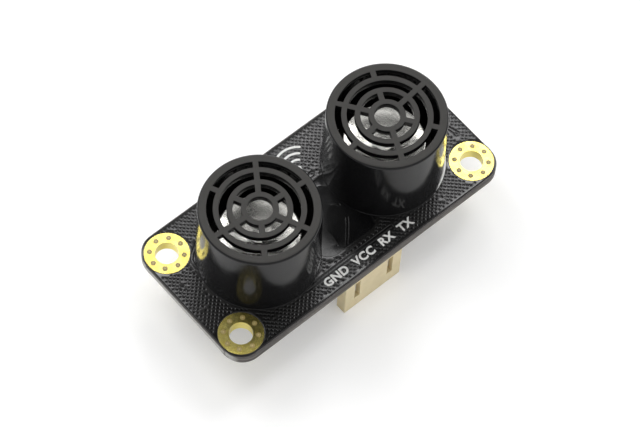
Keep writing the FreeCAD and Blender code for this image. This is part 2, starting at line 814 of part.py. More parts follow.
make_board()
for corner, (across, along) in CORNERS.items():
    make_mount_pad(corner, across, along)
make_transducer("transmitter", -1, "spoke_turn_transmitter")
make_transducer("receiver", 1, "spoke_turn_receiver")
make_header()
for number in range(int(sheet.pin_count)):
    make_header_pin(number)
make_anchor_tabs()
make_electronics()
write_parts()
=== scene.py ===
import json
import math

import bmesh
import bpy
from mathutils import Matrix, Vector
from mathutils.geometry import delaunay_2d_cdt


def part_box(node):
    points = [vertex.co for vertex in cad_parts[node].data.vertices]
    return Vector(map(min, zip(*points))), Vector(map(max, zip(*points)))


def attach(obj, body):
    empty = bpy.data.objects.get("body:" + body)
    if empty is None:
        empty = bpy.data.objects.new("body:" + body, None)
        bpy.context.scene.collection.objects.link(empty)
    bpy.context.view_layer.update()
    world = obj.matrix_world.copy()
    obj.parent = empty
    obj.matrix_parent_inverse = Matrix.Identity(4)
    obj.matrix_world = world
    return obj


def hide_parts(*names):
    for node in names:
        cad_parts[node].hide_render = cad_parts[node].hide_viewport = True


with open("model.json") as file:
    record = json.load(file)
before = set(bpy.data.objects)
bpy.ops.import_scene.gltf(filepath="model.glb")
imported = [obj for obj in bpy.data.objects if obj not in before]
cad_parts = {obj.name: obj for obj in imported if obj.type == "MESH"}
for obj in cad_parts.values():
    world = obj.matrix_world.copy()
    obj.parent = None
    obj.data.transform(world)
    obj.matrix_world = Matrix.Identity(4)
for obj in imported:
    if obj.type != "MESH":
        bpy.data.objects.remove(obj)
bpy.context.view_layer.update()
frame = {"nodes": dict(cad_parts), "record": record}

# The looks of an ultrasonic distance sensor with two heads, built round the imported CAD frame.
# Lengths are in millimetres in that frame, and MM turns them into metres where a mesh is made.
# Angles are in degrees where they are written down, and colours are linear.

MM = 0.001
HEADS = ("transmitter", "receiver")
CORNERS = ("front_left", "front_right", "rear_left", "rear_right")


def node_box(node):
    """Lowest and highest corner of a node."""
    low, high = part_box(node)
    return low / MM, high / MM


def node_middle(node):
    low, high = node_box(node)
    return (low.x + high.x) / 2, (low.y + high.y) / 2


def node_radius(node):
    low, high = node_box(node)
    return (high.x - low.x) / 2


BOARD_LOW, BOARD_HIGH = node_box("circuit_board")
BOARD_CORNER = 3.0
PADS = [node_middle("mount_pad_" + corner) for corner in CORNERS]
PAD_RADIUS = node_radius("mount_pad_rear_left")
HEAD_AXES = [node_middle(head + "_housing") for head in HEADS]
HEAD_RADIUS = node_radius("receiver_housing")
HEAD_TOP = node_box("receiver_housing")[1].z


# Plane shapes. Each one's loop is its outline, grown by a distance, and its distance tells how far
# a point lies outside it.

class Disc:
    def __init__(self, x, y, radius, count=48):
        self.x, self.y, self.radius, self.count = x, y, radius, count

    def loop(self, grow=0.0):
        angles = [2 * math.pi * i / self.count for i in range(self.count)]
        reach = self.radius + grow
        return [(self.x + reach * math.cos(a), self.y + reach * math.sin(a)) for a in angles]

    def distance(self, x, y):
        return math.hypot(x - self.x, y - self.y) - self.radius


class Slab:
    """A rectangle with round corners."""

    def __init__(self, x0, x1, y0, y1, corner, steps=6):
        self.box, self.corner, self.steps = (x0, x1, y0, y1), corner, steps

    def loop(self, grow=0.0):
        x0, x1, y0, y1 = self.box
        r = self.corner
        centres = [(x1 - r, y1 - r), (x0 + r, y1 - r), (x0 + r, y0 + r), (x1 - r, y0 + r)]
        points = []
        for quarter, (cx, cy) in enumerate(centres):
            for i in range(self.steps + 1):
                a = math.pi / 2 * (quarter + i / self.steps)
                points.append((cx + (r + grow) * math.cos(a), cy + (r + grow) * math.sin(a)))
        return points

    def distance(self, x, y):
        x0, x1, y0, y1 = self.box
        dx = abs(x - (x0 + x1) / 2) - (x1 - x0) / 2 + self.corner
        dy = abs(y - (y0 + y1) / 2) - (y1 - y0) / 2 + self.corner
        return math.hypot(max(dx, 0), max(dy, 0)) + min(max(dx, dy), 0) - self.corner


class Diamond:
    """A square standing on its corner, its corners cut off."""

    CUT = 0.3

    def __init__(self, x, y, half):
        self.x, self.y, self.half = x, y, half

    def loop(self, grow=0.0):
        reach = self.half + grow * math.sqrt(2)
        side = reach * self.CUT
        points = []
        for quarter in range(4):
            a = math.pi / 2 * quarter
            along = (math.cos(a), math.sin(a))
            across = (-along[1], along[0])
            for turn in (-1, 1):
                points.append((self.x + along[0] * (reach - side) + across[0] * side * turn,
                               self.y + along[1] * (reach - side) + across[1] * side * turn))
        return points


class Track:
    """A line of copper or ink through points, with its half width at each."""

    CAP_STEPS = 8

    def __init__(self, points, widths):
        self.points = points
        self.widths = widths if isinstance(widths, list) else [widths] * len(points)

    def normals(self):
        """At each point, the direction square to the line."""
        normals = []
        for i in range(len(self.points)):
            a = self.points[max(i - 1, 0)]
            b = self.points[min(i + 1, len(self.points) - 1)]
            d = Vector((b[0] - a[0], b[1] - a[1])).normalized()
            normals.append((-d.y, d.x))
        return normals

    def loop(self, grow=0.0):
        normals = self.normals()
        left, right = ([(p[0] + side * n[0] * (w + grow), p[1] + side * n[1] * (w + grow))
                        for p, n, w in zip(self.points, normals, self.widths)]
                       for side in (1, -1))
        return (right + self.cap(-1, normals[-1], grow, -1)
                + left[::-1] + self.cap(0, normals[0], grow, 1))

    def cap(self, end, normal, grow, side):
        """The half circle round one end."""
        start = math.atan2(normal[1] * side, normal[0] * side)
        reach = self.widths[end] + grow
        x, y = self.points[end]
        steps = range(1, self.CAP_STEPS)
        return [(x + reach * math.cos(start + math.pi * i / self.CAP_STEPS),
                 y + reach * math.sin(start + math.pi * i / self.CAP_STEPS)) for i in steps]

    def distance(self, x, y):
        best = math.inf
        spot = Vector((x, y))
        for i in range(len(self.points) - 1):
            a, b = Vector(self.points[i]), Vector(self.points[i + 1])
            along = b - a
            t = max(0, min(1, (spot - a).dot(along) / along.length_squared))
            width = self.widths[i] * (1 - t) + self.widths[i + 1] * t
            best = min(best, (spot - a - along * t).length - width)
        return best


def arc(x, y, radius, start, end, count=9):
    """Points along an arc."""
    angles = [math.radians(start + (end - start) * i / (count - 1)) for i in range(count)]
    return [(x + radius * math.cos(a), y + radius * math.sin(a)) for a in angles]


# Meshes. CDT_INSIDE asks for the triangles inside the loops alone. Corners are one and the same
# within CDT_CLOSE millimetres there, at DIGITS decimals of a millimetre in a relief or a node, and
# within SAME_PLACE metres in a word.

CDT_INSIDE = 1
CDT_CLOSE = 1e-7
DIGITS = 4
SAME_PLACE = 1e-7


def triangulate(loops):
    """Points, and triangles that fill the first loop but for the holes the other loops outline."""
    points, faces = [], []
    for loop in loops:
        faces.append(list(range(len(points), len(points) + len(loop))))
        points.extend(Vector(p) for p in loop)
    points, _, triangles, _, _, sources = delaunay_2d_cdt(points, [], faces, CDT_INSIDE,
                                                          CDT_CLOSE, True)
    return points, [corners for corners, source in zip(triangles, sources) if list(source) == [0]]


def add_object(name, data):
    made = bpy.data.objects.new(name, data)
    bpy.context.scene.collection.objects.link(made)
    return made


def add_piece(name, mesh):
    """An object that rides on the board."""
    piece = add_object(name, mesh)
    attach(piece, "root")
    return piece


def mesh_piece(name, points, faces, sharp=40.0):
    """A piece from points in metres, smooth but for edges past the angle."""
    mesh = bpy.data.meshes.new(name)
    mesh.from_pydata(points, [], faces)
    work = bmesh.new()
    work.from_mesh(mesh)
    bmesh.ops.recalc_face_normals(work, faces=work.faces)
    work.to_mesh(mesh)
    work.free()
    mesh.polygons.foreach_set("use_smooth", [True] * len(mesh.polygons))
    mesh.set_sharp_from_angle(angle=math.radians(sharp))
    return add_piece(name, mesh)


def turned(name, profile, axis, count, sharp):
    """A closed body of revolution. Its profile holds (radius, height) corners, and closes on
    itself, or on the axis where it begins and ends there."""
    points, faces, rings = [], [], []
    for radius, height in profile:
        if radius == 0:
            rings.append([len(points)])
            points.append(Vector((axis[0], axis[1], height)) * MM)
            continue
        rings.append(list(range(len(points), len(points) + count)))
        for i in range(count):
            a = 2 * math.pi * i / count
            points.append(Vector((axis[0] + radius * math.cos(a), axis[1] + radius * math.sin(a),
                                  height)) * MM)
    pairs = list(zip(rings, rings[1:]))
    if len(rings[0]) > 1:
        pairs.append((rings[-1], rings[0]))
    for one, other in pairs:
        for i in range(count):
            j = (i + 1) % count
            if len(one) == 1:
                faces.append((one[0], other[i], other[j]))
            elif len(other) == 1:
                faces.append((one[i], one[j], other[0]))
            else:
                faces.append((one[i], one[j], other[j], other[i]))
    return mesh_piece(name, points, faces, sharp)


def joined(name, pieces):
    """One piece from several, each a closed body of its own."""
    work = bmesh.new()
    for piece in pieces:
        mesh = piece.data
        work.from_mesh(mesh)
        bpy.data.objects.remove(piece)
        bpy.data.meshes.remove(mesh)
    mesh = bpy.data.meshes.new(name)
    work.to_mesh(mesh)
    work.free()
    return add_piece(name, mesh)


def plates(name, shapes, low, high):
    """Flat closed plates with the outlines of plane shapes, between two heights."""
    points, faces = [], []
    for shape in shapes:
        loop = shape.loop()
        start, count = len(points), len(loop)
        points += [Vector((x, y, low)) * MM for x, y in loop]
        points += [Vector((x, y, high)) * MM for x, y in loop]
        for i in range(count):
            j = (i + 1) % count
            faces.append((start + i, start + j, start + count + j, start + count + i))
        for corners in triangulate([loop])[1]:
            faces.append(tuple(start + i for i in corners))
            faces.append(tuple(start + count + i for i in corners))
    return mesh_piece(name, points, faces, sharp=30.0)


# Relief skins

class Patch:
    """A shape at one level of a relief, with the patches that lie in it. Its edge slopes over
    twice the width soften. A patch whose level is None is a hole."""

    def __init__(self, shape, level, patches=(), soften=0.05):
        self.shape, self.level, self.patches, self.soften = shape, level, list(patches), soften


class Relief:
    """A closed skin whose face has several levels, joined by soft steps."""

    # Cross-section of a step between its two edges: share of soften outwards, share of the way
    STEP_CURVE = ((0.35, 0.12), (-0.35, 0.88))
    OUTER_LIP = 0.5
    HOLE_LIP = 0.4
    MOST_CORNERS = 12

    def __init__(self):
        self.places, self.points, self.faces, self.through = {}, [], [], []

    def corner(self, x, y, z):
        key = (round(x, DIGITS), round(y, DIGITS), round(z, DIGITS))
        if key not in self.places:
            self.places[key] = len(self.points)
            self.points.append((x, y, z))
        return self.places[key]

    def ring(self, loop, z):
        return [self.corner(x, y, z) for x, y in loop]

    def band(self, one, other):
        """Faces between two rings of as many corners."""
        count = len(one)
        for i in range(count):
            j = (i + 1) % count
            self.faces.append((one[i], one[j], other[j], other[i]))

    def fill(self, outline, holes, z):
        points, triangles = triangulate([outline, *holes])
        for corners in triangles:
            self.faces.append(tuple(self.corner(points[i][0], points[i][1], z) for i in corners))

    def carve(self, patch, outer_level):
        """The step down or up into a patch, its own face and all that lies in it."""
        soften, rise = patch.soften, patch.level - outer_level
        inner_loop = patch.shape.loop(-soften)
        rings = [self.ring(patch.shape.loop(soften), outer_level)]
        for out, share in self.STEP_CURVE:
            rings.append(self.ring(patch.shape.loop(out * soften), outer_level + share * rise))
        rings.append(self.ring(inner_loop, patch.level))
        for one, other in zip(rings, rings[1:]):
            self.band(one, other)
        self.face(patch, inner_loop)

    def face(self, patch, outline):
        """The level face of a patch, with what lies in it."""
        holes = []
        for inner in patch.patches:
            holes.append(inner.shape.loop(inner.soften))
            if inner.level is None:
                self.open(inner, patch.level)
            else:
                self.carve(inner, patch.level)
        if holes or len(outline) > self.MOST_CORNERS:
            self.fill(outline, holes, patch.level)
        else:
            self.faces.append(tuple(self.ring(outline, patch.level)))

    def open(self, patch, level):
        """A hole right through the skin, with a rounded lip."""
        wall = patch.shape.loop()
        top = self.ring(patch.shape.loop(patch.soften), level)
        lip = self.ring(wall, level - self.HOLE_LIP * patch.soften)
        self.band(top, lip)
        self.band(lip, self.ring(wall, 0.0))
        self.through.append(wall)

    def build(self, name, patch, base, upward):
        """The whole skin as a piece that stands on the height base and faces up, or down where
        upward is -1."""
        wall = patch.shape.loop()
        top = patch.shape.loop(-patch.soften)
        low = self.ring(wall, 0.0)
        lip = self.ring(wall, patch.level - self.OUTER_LIP * patch.soften)
        self.band(low, lip)
        self.band(lip, self.ring(top, patch.level))
        self.face(patch, top)
        self.fill(wall, self.through, 0.0)
        points = [Vector((x, y, base + upward * z)) * MM for x, y, z in self.points]
        return mesh_piece(name, points, self.faces)


# Solder mask: levels over bare laminate, over copper and over a trace on bare laminate

MASK_LOW = 0.02
MASK_HIGH = 0.055
TRACE_LEVEL = 0.036
VIA_LEVEL = 0.006
VIA_RADIUS = 0.16
MASK_PULL_BACK = 0.12
SKIN_SOFTEN = 0.012
POUR_INSET = 0.22
POUR_BORDER = 0.04
HATCH_PITCH = 0.508
HATCH_OPENING = 0.33
HATCH_SOFTEN = 0.045
PAD_CLEARANCE = 0.07
PAD_BORDER = 0.1
PAD_SOFTEN = 0.04
TRACE_GAP = 0.2
TRACE_BORDER = 0.12
TRACE_SOFTEN = 0.07
CHANNEL_SOFTEN = 0.06
LAND_CLEARANCE = 0.05
LAND_CORNER = 0.08
LAND_SOFTEN = 0.02
ROUND_LAND_CORNERS = 20
FACE = BOARD_HIGH.z + MASK_HIGH


def board_slab(inset):
    return Slab(BOARD_LOW.x + inset, BOARD_HIGH.x - inset, BOARD_LOW.y + inset,
                BOARD_HIGH.y - inset, BOARD_CORNER - inset, steps=10)


def via(x, y):
    return Patch(Disc(x, y, VIA_RADIUS, count=12), VIA_LEVEL)


def grooved_trace(points, widths, ends=()):
    """A trace through the copper pour, with a sunken gap all round it and vias at the ends named.
    """
    track = Track(points, widths)
    copper = Patch(track, MASK_HIGH, [via(*points[end]) for end in ends])
    return Patch(Track(points, [width + TRACE_GAP for width in track.widths]), MASK_LOW, [copper])


def open_trace(points, widths, ends=()):
    """A trace on bare laminate, with vias at the ends named."""
    return Patch(Track(points, widths), TRACE_LEVEL, [via(*points[end]) for end in ends],
                 soften=TRACE_SOFTEN)


def hatch(obstacles):
    """Openings of the copper lattice, which runs at 45 degrees to the board, wherever they are
    clear of the obstacles: pairs of a shape and the width of copper beside it."""
    step = HATCH_PITCH / math.sqrt(2)
    half = HATCH_OPENING / math.sqrt(2)
    border = board_slab(POUR_INSET + POUR_BORDER)
    columns, rows = int(BOARD_HIGH.x / step) + 1, int(BOARD_HIGH.y / step) + 1
    openings = []
    for i in range(-columns, columns + 1):
        for j in range(-rows, rows + 1):
            x, y = i * step, j * step
            if (i + j) % 2 or border.distance(x, y) > -half:
                continue
            if all(shape.distance(x, y) >= half + width for shape, width in obstacles):
                openings.append(Patch(Diamond(x, y, half), MASK_LOW, soften=HATCH_SOFTEN))
    return openings


def mask_skin(name, patches, covered, base, upward):
    """A face of solder mask with its copper pour, the screw pads' openings and the lattice, which
    leaves out what is covered."""
    obstacles = [(Disc(x, y, PAD_RADIUS), PAD_BORDER) for x, y in PADS]
    obstacles += [(shape, 0.0) for shape in covered]
    obstacles += [(patch.shape, TRACE_BORDER) for patch in patches]
    pads = [Patch(Disc(x, y, PAD_RADIUS + PAD_CLEARANCE, count=72), None, soften=PAD_SOFTEN)
            for x, y in PADS]
    pour = Patch(board_slab(POUR_INSET), MASK_HIGH, pads + patches + hatch(obstacles))
    skin = Patch(board_slab(MASK_PULL_BACK), MASK_LOW, [pour], soften=SKIN_SOFTEN)
    piece = Relief().build(name, skin, base, upward)
    return piece


# The bare channel between the heads with the traces in it, the traces through the pour, and the
# single vias. A trace is its points, its half width or half widths, and its ends that have a via.
CHANNEL = Slab(-4.9, 4.9, -6.85, 3.6, 2.0)
CHANNEL_TRACES = (
    (arc(-7.4, -4.0, 5.7, 22, -16) + [(-2.12, -5.75)], [0.1] * 9 + [0.26], (-1,)),
    ([(1.5, -3.4), (0.9, -4.2), (-0.5, -5.75), (-1.25, -6.5)], 0.09),
    ([(1.9, -3.55), (1.3, -4.35), (-0.1, -5.9), (-0.75, -6.5)], 0.09),
    ([(1.2, -0.7), (1.7, -0.9), (2.1, -1.3)], [0.09, 0.09, 0.24], (-1,)),
    ([(4.2, -6.35), (4.35, -5.4), (4.35, -3.2)], [0.24, 0.09, 0.09], (0,)),
    ([(-2.2, 2.9), (0.6, 2.95), (1.9, 2.55), (2.6, 1.9)], 0.1),
)
TOP_TRACES = (
    ([(21.5, -3.2), (21.45, -2.8), (21.3, -2.1), (21.0, -1.2), (20.6, 0.6)],
     [0.3, 0.14, 0.12, 0.12, 0.12], (0,)),
    ([(-16.3, 6.2), (-16.9, 5.85), (-17.7, 5.36), (-18.25, 4.8), (-18.5, 4.17), (-18.54, 3.5),
      (-18.3, 2.8)], 0.09),
    ([(-9.6, -8.27), (3.4, -8.27), (5.2, -8.27)], 0.14),
    ([(0.4, 4.0), (1.0, 4.35), (2.35, 4.5)], [0.1, 0.1, 0.24], (-1,)),
)
TOP_VIAS = ((-4.7, -7.15), (-21.75, 2.4), (-19.95, -0.45), (-21.5, -1.5), (3.2, 4.55),
            (-8.05, -10.25), (-5.05, -10.25), (-2.05, -10.25), (1.0, -10.25), (13.4, -9.2),
            (-13.2, 9.6), (15.3, 9.7), (-0.9, 5.2), (22.2, 3.1), (-15.5, -8.8))

# The underside's traces and vias, all clear of its lands
BOTTOM_TRACES = (
    [(-4.4, 8.9), (-7.0, 8.9), (-9.4, 7.4), (-14.6, 7.4)],
    [(3.0, -4.0), (5.8, -4.0), (7.4, -5.6)],
    [(-3.0, -4.0), (-5.8, -4.0), (-7.2, -5.4)],
    [(16.6, 2.6), (19.4, 0.0), (19.4, -1.6)],
    [(-16.4, 2.2), (-19.0, -0.4), (-19.0, -2.2)],
)
BOTTOM_TRACE_HALF = 0.1
BOTTOM_VIAS = ((-22.3, 0.6), (22.2, -0.4), (-21.9, -2.9), (21.8, 2.6), (-11.9, 9.9), (11.2, 9.9),
               (-9.4, -9.9), (9.8, -9.8), (-15.0, -9.8), (15.6, -9.6), (0.0, 10.3), (-6.2, 10.2))


def make_top_mask():
    channel = Patch(CHANNEL, MASK_LOW, [open_trace(*trace) for trace in CHANNEL_TRACES],
                    soften=CHANNEL_SOFTEN)
    traces = [grooved_trace(*trace) for trace in TOP_TRACES]
    vias = [via(*spot) for spot in TOP_VIAS]
    heads = [Disc(x, y, HEAD_RADIUS) for x, y in HEAD_AXES]
    return mask_skin("solder_mask_top", [channel] + traces + vias, heads, BOARD_HIGH.z, 1)


def islands(node):
    """The separate solids of a node, each as its corners."""
    corners = [tuple(round(c / MM, DIGITS) for c in v.co) for v in node.data.vertices]
    leader = {corner: corner for corner in corners}

    def find(corner):
        while leader[corner] != corner:
            leader[corner] = leader[leader[corner]]
            corner = leader[corner]
        return corner

    for edge in node.data.edges:
        one, other = (find(corners[i]) for i in edge.vertices)
        leader[one] = other
    groups = {}
    for corner in leader:
        groups.setdefault(find(corner), []).append(corner)
    return list(groups.values())


def land_shape(corners):
    """A plane shape round one solder land: a disc for a round one, else a rectangle."""
    xs, ys = [c[0] for c in corners], [c[1] for c in corners]
    grow = LAND_CLEARANCE
    if len(corners) > ROUND_LAND_CORNERS:
        x, y = (min(xs) + max(xs)) / 2, (min(ys) + max(ys)) / 2
        return Disc(x, y, (max(xs) - min(xs)) / 2 + grow, count=32)
    return Slab(min(xs) - grow, max(xs) + grow, min(ys) - grow, max(ys) + grow, LAND_CORNER,
                steps=2)


def make_bottom_mask():
    openings = [Patch(land_shape(corners), None, soften=LAND_SOFTEN)
                for corners in islands(frame["nodes"]["solder_lands"])]
    traces = [grooved_trace(points, BOTTOM_TRACE_HALF, (0, -1)) for points in BOTTOM_TRACES]
    vias = [via(*spot) for spot in BOTTOM_VIAS]
    return mask_skin("solder_mask_bottom", openings + traces + vias, [], 0.0, -1)


# Silkscreen ink

INK = 0.014
LABEL_TEXT = "GND  VCC  RX  TX"
LABEL_SIZE = 1.68
LABEL_MIDDLE = (0.4, -9.27)
LETTER_WEIGHT = 0.036
LETTER_SPACING = 1.06
ICON_SPOT = (1.5, 6.3)
ICON_DOT = 0.42
ICON_ARCS = (1.35, 2.35, 3.35)
ICON_OPENING = 42
ICON_HALF_LINE = 0.16
MARKED_CHIPS = ("microcontroller", "echo_amplifier", "burst_driver", "voltage_regulator")
PIN_DOT = 0.22
PIN_DOT_OFFSET = (-0.9, 0.4)
FRAMED_PARTS = ("crystal", "bulk_capacitor")
FRAME_GAP = (0.35, 0.9)
HEAD_MARK_GAP = 0.25
HEAD_MARK_OPENING = 34
OUTLINE_HALF_LINE = 0.07


def lettering(name, text, size, middle, low, high):
    """Words as thin raised ink between two heights, centred on a point of the board's face."""
    curve = bpy.data.curves.new(name, "FONT")
    curve.body = text
    curve.size = size
    curve.offset = LETTER_WEIGHT * size
    curve.extrude = (high - low) / 2
    curve.align_x, curve.align_y = "CENTER", "CENTER"
    curve.space_character = LETTER_SPACING
    holder = add_object(name + "_curve", curve)
    bpy.context.view_layer.update()
    mesh = bpy.data.meshes.new_from_object(holder)
    bpy.data.objects.remove(holder)
    bpy.data.curves.remove(curve)
    mesh.name = name
    mesh.materials.clear()
    for vertex in mesh.vertices:
        along, across, lift = vertex.co
        vertex.co = Vector((middle[0] + along, middle[1] + across, (low + high) / 2 + lift)) * MM
    work = bmesh.new()
    work.from_mesh(mesh)
    bmesh.ops.remove_doubles(work, verts=work.verts, dist=SAME_PLACE)
    bmesh.ops.recalc_face_normals(work, faces=work.faces)
    work.to_mesh(mesh)
    work.free()
    return add_piece(name, mesh)


def make_top_ink():
    """The pin labels, and a dot with three nested arcs that stand for sound waves."""
    low, high = FACE, FACE + INK
    words = lettering("ink_pin_labels", LABEL_TEXT, LABEL_SIZE, LABEL_MIDDLE, low, high)
    icon = [Disc(*ICON_SPOT, ICON_DOT, count=24)]
    for radius in ICON_ARCS:
        bow = arc(*ICON_SPOT, radius, 90 - ICON_OPENING, 90 + ICON_OPENING, count=13)
        icon.append(Track(bow, ICON_HALF_LINE))
    return [words, plates("ink_wave_icon", icon, low, high)]


def make_bottom_ink():
    """Component outlines and pin-one dots on the underside."""
    shapes = []
    for node in MARKED_CHIPS:
        low = node_box(node)[0]
        shapes.append(Disc(low.x + PIN_DOT_OFFSET[0], low.y + PIN_DOT_OFFSET[1], PIN_DOT,
                           count=20))
    for node in FRAMED_PARTS:
        low, high = node_box(node)
        x0, x1 = low.x - FRAME_GAP[0], high.x + FRAME_GAP[0]
        y0, y1 = low.y - FRAME_GAP[1], high.y + FRAME_GAP[1]
        corners = [(x0, y0), (x1, y0), (x1, y1), (x0, y1)]
        for one, other in zip(corners, corners[1:] + corners[:1]):
            shapes.append(Track([one, other], OUTLINE_HALF_LINE))
    for x, y in HEAD_AXES:
        for facing in (90, -90):
            bow = arc(x, y, HEAD_RADIUS + HEAD_MARK_GAP, facing - HEAD_MARK_OPENING,
                      facing + HEAD_MARK_OPENING, count=25)
            shapes.append(Track(bow, OUTLINE_HALF_LINE))
    return plates("ink_underside_outlines", shapes, -MASK_HIGH - INK, -MASK_HIGH)


# Turned pieces and what stands round the heads. A half section holds radii and heights.

STITCH_COUNT = 8
STITCH_CIRCLE = 4.6

# Half section of a filled via, its height above the board's face
PLUG_PROFILE = ((0.0, 0.078), (0.08, 0.076), (0.13, 0.064), (0.2, 0.056), (0.28, 0.062),
                (0.33, 0.062), (0.35, 0.045), (0.24, 0.04), (0.24, -0.3), (0.0, -0.3))

# Half section of a cone as it was drawn, from the middle of its dish over its rolled lip to the
# middle of its foot. It is scaled from this radius and depth to those of the node.
CONE_RADIUS = 5.5
CONE_DEPTH = 1.25
CONE_PROFILE = ((0.0, 0.29), (0.3, 0.27), (0.9, 0.27), (1.15, 0.3), (1.5, 0.39), (2.0, 0.5),
                (2.5, 0.6), (3.0, 0.69), (3.5, 0.79), (4.0, 0.91), (4.5, 1.03), (5.0, 1.15),
                (5.3, 1.22), (5.4, 1.24), (5.47, 1.23), (5.5, 1.18), (5.47, 1.1), (5.36, 1.05),
                (5.0, 0.97), (4.5, 0.85), (4.0, 0.74), (3.0, 0.52), (2.2, 0.36), (1.75, 0.24),
                (1.6, 0.1), (1.5, 0.0), (0.0, 0.0))

# Half section of the flange that a head stands on: reach beyond the head, height above the mask
BEAD_PROFILE = ((-0.06, 0.1), (-0.06, -0.05), (0.07, -0.05), (0.07, 0.02), (0.03, 0.07))

# The section of the pale crescent that paints the glint along the receiver's base is sunk into the
# head and the mask, and follows a fillet between them, given in shares of its reach: outwards and
# up
PAINTED_GLINT_START, PAINTED_GLINT_END = -84.0, -6.0
PAINTED_GLINT_STEPS = 32
PAINTED_GLINT_THIN, PAINTED_GLINT_SWELL = 0.03, 0.24
PAINTED_GLINT_SKEW = 1.5
PAINTED_GLINT_IN_HEAD, PAINTED_GLINT_IN_MASK = 0.05, 0.02
PAINTED_GLINT_FILLET = ((0.9, 0.3), (0.5, 0.6))
PAINTED_GLINT_TOP = 0.9


def make_via_plugs():
    """The filled vias of the screw pads: a dull dished plug with a small raised middle."""
    made = []
    for corner, (cx, cy) in zip(CORNERS, PADS):
        plugs = []
        for i in range(STITCH_COUNT):
            a = 2 * math.pi / STITCH_COUNT * i
            spot = (cx + STITCH_CIRCLE / 2 * math.cos(a), cy + STITCH_CIRCLE / 2 * math.sin(a))
            for side, face in ((1, BOARD_HIGH.z), (-1, 0.0)):
                profile = [(r, face + side * h) for r, h in PLUG_PROFILE]
                plugs.append(turned("plug", profile, spot, count=20, sharp=60.0))
        piece = joined("via_plugs_" + corner, plugs)
        made.append(piece)
    return made


def make_cones():
    """The spun cones, with a rolled lip, standing for the plain ones."""
    made = []
    for head, axis in zip(HEADS, HEAD_AXES):
        low, high = node_box(head + "_cone")
        reach, lift = (high.x - low.x) / 2, (high.z - low.z) / CONE_DEPTH
        profile = [(r * reach / CONE_RADIUS, low.z + h * lift) for r, h in CONE_PROFILE]
        piece = turned(head + "_spun_cone", profile, axis, count=128, sharp=50.0)
        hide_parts(head + "_cone")
        made.append(piece)
    return made


def make_head_beads():
    """The fine moulded flange each head stands on."""
    made = []
    profile = [(HEAD_RADIUS + r, FACE + h) for r, h in BEAD_PROFILE]
    for head, axis in zip(HEADS, HEAD_AXES):
        piece = turned(head + "_base_bead", profile, axis, count=128, sharp=60.0)
        made.append(piece)
    return made


def make_painted_glint():
    """A pale crescent under the receiver's right side, thickest in its middle: a painted glint
    along the head's base.
    """
    x, y = HEAD_AXES[1]
    points, faces = [], []
    for i in range(PAINTED_GLINT_STEPS + 1):
        share = i / PAINTED_GLINT_STEPS
        a = math.radians(PAINTED_GLINT_START + (PAINTED_GLINT_END - PAINTED_GLINT_START) * share)
        reach = PAINTED_GLINT_THIN + PAINTED_GLINT_SWELL * math.sin(math.pi * share ** PAINTED_GLINT_SKEW)
        section = [(-PAINTED_GLINT_IN_HEAD, -PAINTED_GLINT_IN_MASK), (reach, -PAINTED_GLINT_IN_MASK)]
        section += [(out * reach, up * reach) for out, up in PAINTED_GLINT_FILLET]
        section.append((-PAINTED_GLINT_IN_HEAD, PAINTED_GLINT_TOP * reach))
        points += [Vector((x + (HEAD_RADIUS + r) * math.cos(a),
                           y + (HEAD_RADIUS + r) * math.sin(a), FACE + h)) * MM
                   for r, h in section]
    size = len(section)
    for i in range(PAINTED_GLINT_STEPS):
        for j in range(size):
            k = (j + 1) % size
            faces.append((size * i + j, size * i + k, size * (i + 1) + k, size * (i + 1) + j))
    faces += [tuple(range(size)), tuple(range(size * PAINTED_GLINT_STEPS, size * (PAINTED_GLINT_STEPS + 1)))]
    piece = mesh_piece("receiver_base_painted_glint", points, faces, sharp=60.0)
    return [piece]


# Materials

